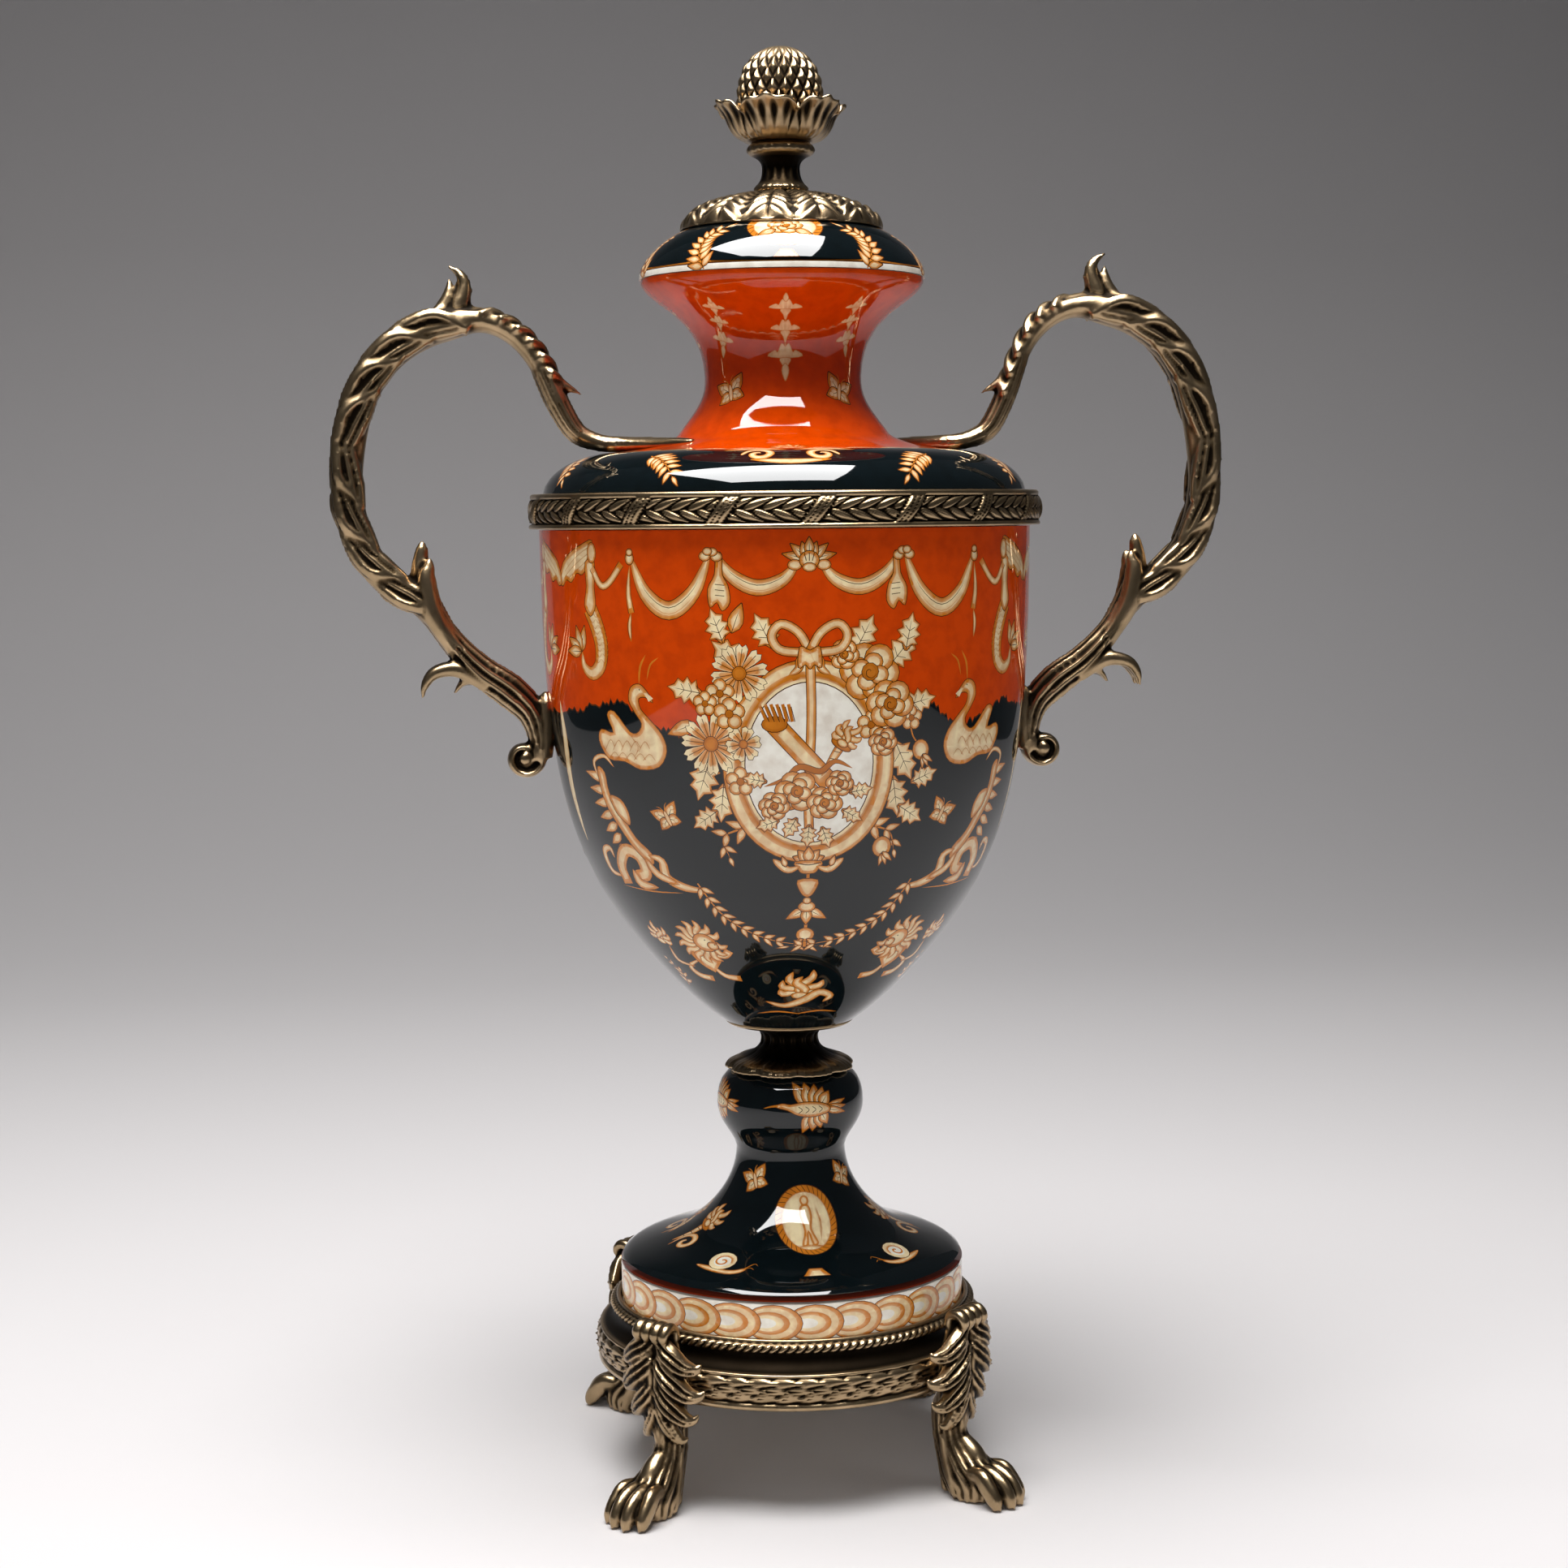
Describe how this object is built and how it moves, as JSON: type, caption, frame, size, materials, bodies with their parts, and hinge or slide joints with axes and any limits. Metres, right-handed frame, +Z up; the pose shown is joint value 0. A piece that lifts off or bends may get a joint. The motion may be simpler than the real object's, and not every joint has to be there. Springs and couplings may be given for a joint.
{
  "type": "mantel urn",
  "caption": "Lidded urn with a waisted neck, tall tapering body and spreading pedestal, held in cast mounts: laurel shoulder band, scrolled leaf handles, cone finial and a drum on paw feet.",
  "frame": {"origin": "on the floor under the middle of the urn", "axes": "+Z is up, -Y faces the viewer of the painted front, the handles lie along X"},
  "size_m": [0.3828, 0.218, 0.607],
  "materials": {
    "bronze": "cast bronze with an antiqued brown-gold patina, dark in the hollows and rubbed bright on the high parts",
    "painted_porcelain": "orange-red and black enamel ground with cream and amber painted figures under a very glossy glaze",
    "black_porcelain": "black enamel ground with cream and amber painted figures and a white banded edge under a very glossy glaze"
  },
  "bodies": {
    "root": {"plinth_ring": "bronze", "leg_front_left": "bronze", "leg_front_right": "bronze", "leg_back_left": "bronze", "leg_back_right": "bronze", "pedestal": "black_porcelain", "stem_collar": "bronze", "bowl": "painted_porcelain", "shoulder_ring": "bronze", "neck": "painted_porcelain", "handle_right": "bronze", "handle_left": "bronze", "lid": "black_porcelain", "lid_cap": "bronze", "finial_stem": "bronze", "finial_leaf_cup": "bronze", "finial_cone": "bronze"}
  },
  "joints": []
}
